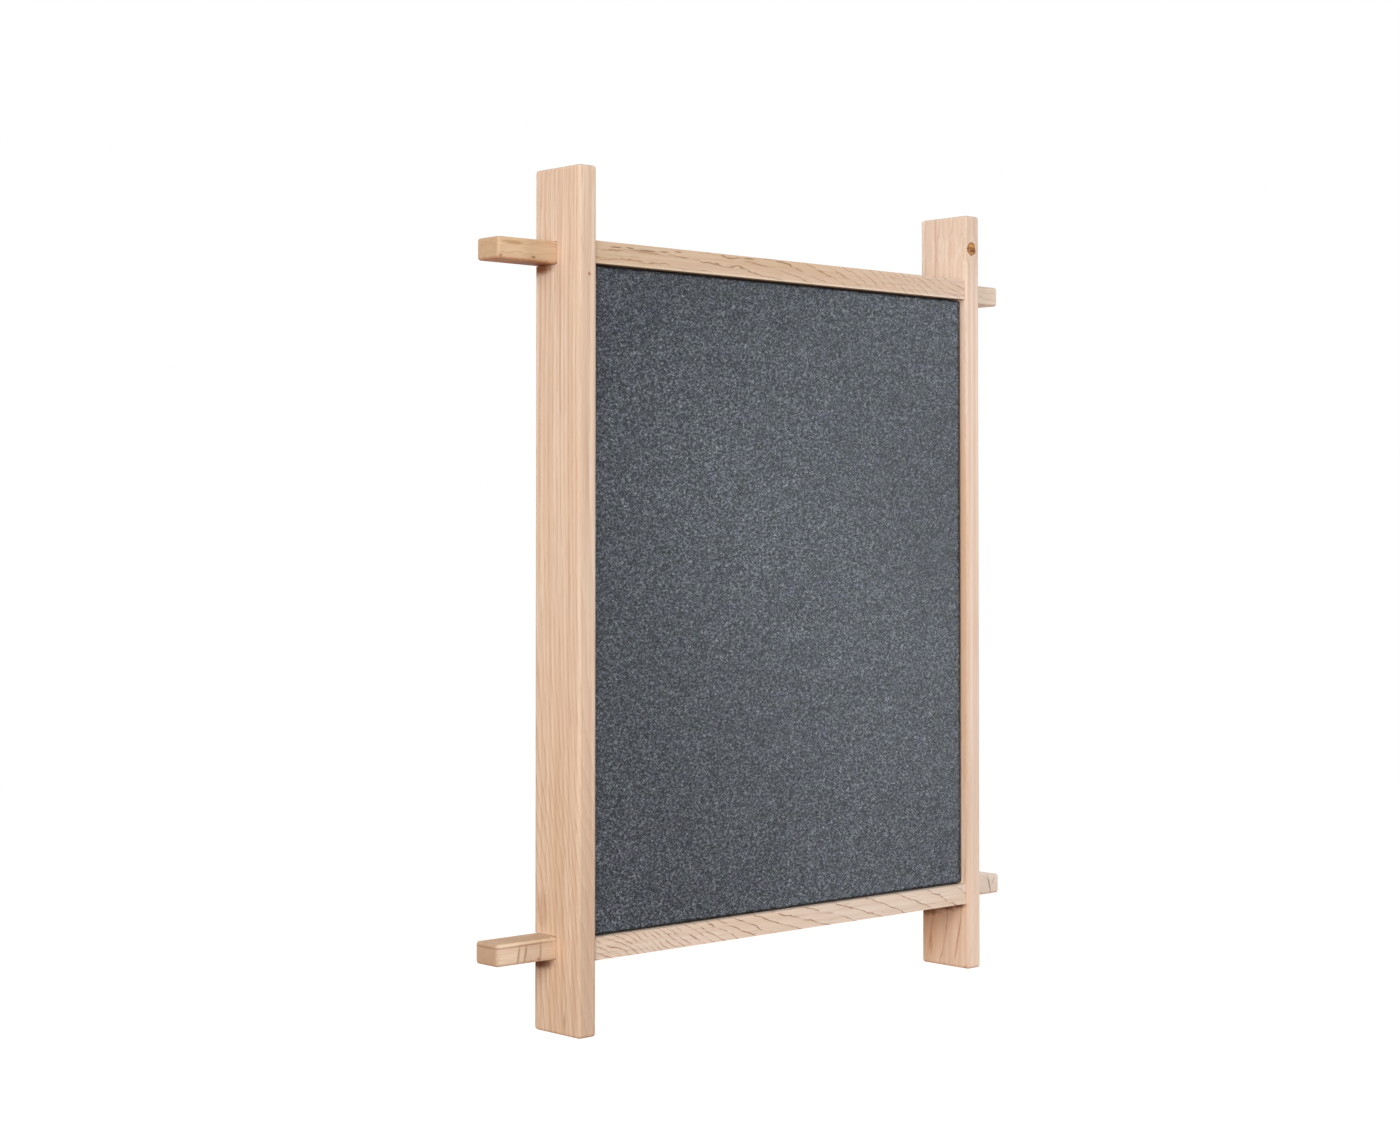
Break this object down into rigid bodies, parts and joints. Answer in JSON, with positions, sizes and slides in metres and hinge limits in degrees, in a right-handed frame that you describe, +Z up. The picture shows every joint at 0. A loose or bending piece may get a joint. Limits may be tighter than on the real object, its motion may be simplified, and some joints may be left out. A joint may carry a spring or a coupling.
{
  "type": "pin board",
  "caption": "Wall-hung pin board: a cloth-covered soft panel in a deep oak frame whose boards run on past their joints.",
  "frame": {"origin": "middle of the back, in the plane of the wall that the uprights' backs lie against", "axes": "+Z up along the uprights, +X to the right along the rails as seen from the front, +Y into the wall"},
  "size_m": [0.706, 0.066, 0.812],
  "materials": {
    "oak": "planed, pale soap or matt clear finish",
    "charcoal_cloth": "felted wool, melange",
    "soft_fibreboard": "raw pressed fibre",
    "birch_plywood": "sanded, raw",
    "pine": "planed, raw",
    "beech": "raw",
    "zinc_plated_steel": "bright zinc plate"
  },
  "bodies": {
    "root": {"left_upright": "oak", "right_upright": "oak", "top_rail": "oak", "bottom_rail": "oak", "fabric_cover": "charcoal_cloth", "pin_core": "soft_fibreboard", "backing_board": "birch_plywood", "top_cleat": "pine", "bottom_cleat": "pine", "left_cleat": "pine", "right_cleat": "pine", "top_left_dowel": "beech", "top_right_dowel": "beech", "bottom_left_dowel": "beech", "bottom_right_dowel": "beech", "left_hanger_plate": "zinc_plated_steel", "right_hanger_plate": "zinc_plated_steel", "left_hanger_lower_screw": "zinc_plated_steel", "left_hanger_upper_screw": "zinc_plated_steel", "right_hanger_lower_screw": "zinc_plated_steel", "right_hanger_upper_screw": "zinc_plated_steel", "top_left_joint_screw": "zinc_plated_steel", "top_right_joint_screw": "zinc_plated_steel", "bottom_left_joint_screw": "zinc_plated_steel", "bottom_right_joint_screw": "zinc_plated_steel", "top_cleat_screw_1": "zinc_plated_steel", "top_cleat_screw_2": "zinc_plated_steel", "bottom_cleat_screw_1": "zinc_plated_steel", "bottom_cleat_screw_2": "zinc_plated_steel", "left_cleat_screw_1": "zinc_plated_steel", "left_cleat_screw_2": "zinc_plated_steel", "right_cleat_screw_1": "zinc_plated_steel", "right_cleat_screw_2": "zinc_plated_steel", "top_panel_screw_1": "zinc_plated_steel", "top_panel_screw_2": "zinc_plated_steel", "bottom_panel_screw_1": "zinc_plated_steel", "bottom_panel_screw_2": "zinc_plated_steel", "left_panel_screw_1": "zinc_plated_steel", "left_panel_screw_2": "zinc_plated_steel", "right_panel_screw_1": "zinc_plated_steel", "right_panel_screw_2": "zinc_plated_steel", "top_staple_1": "zinc_plated_steel", "top_staple_2": "zinc_plated_steel", "top_staple_3": "zinc_plated_steel", "top_staple_4": "zinc_plated_steel", "bottom_staple_1": "zinc_plated_steel", "bottom_staple_2": "zinc_plated_steel", "bottom_staple_3": "zinc_plated_steel", "bottom_staple_4": "zinc_plated_steel", "left_staple_1": "zinc_plated_steel", "left_staple_2": "zinc_plated_steel", "left_staple_3": "zinc_plated_steel", "left_staple_4": "zinc_plated_steel", "right_staple_1": "zinc_plated_steel", "right_staple_2": "zinc_plated_steel", "right_staple_3": "zinc_plated_steel", "right_staple_4": "zinc_plated_steel"}
  },
  "joints": []
}
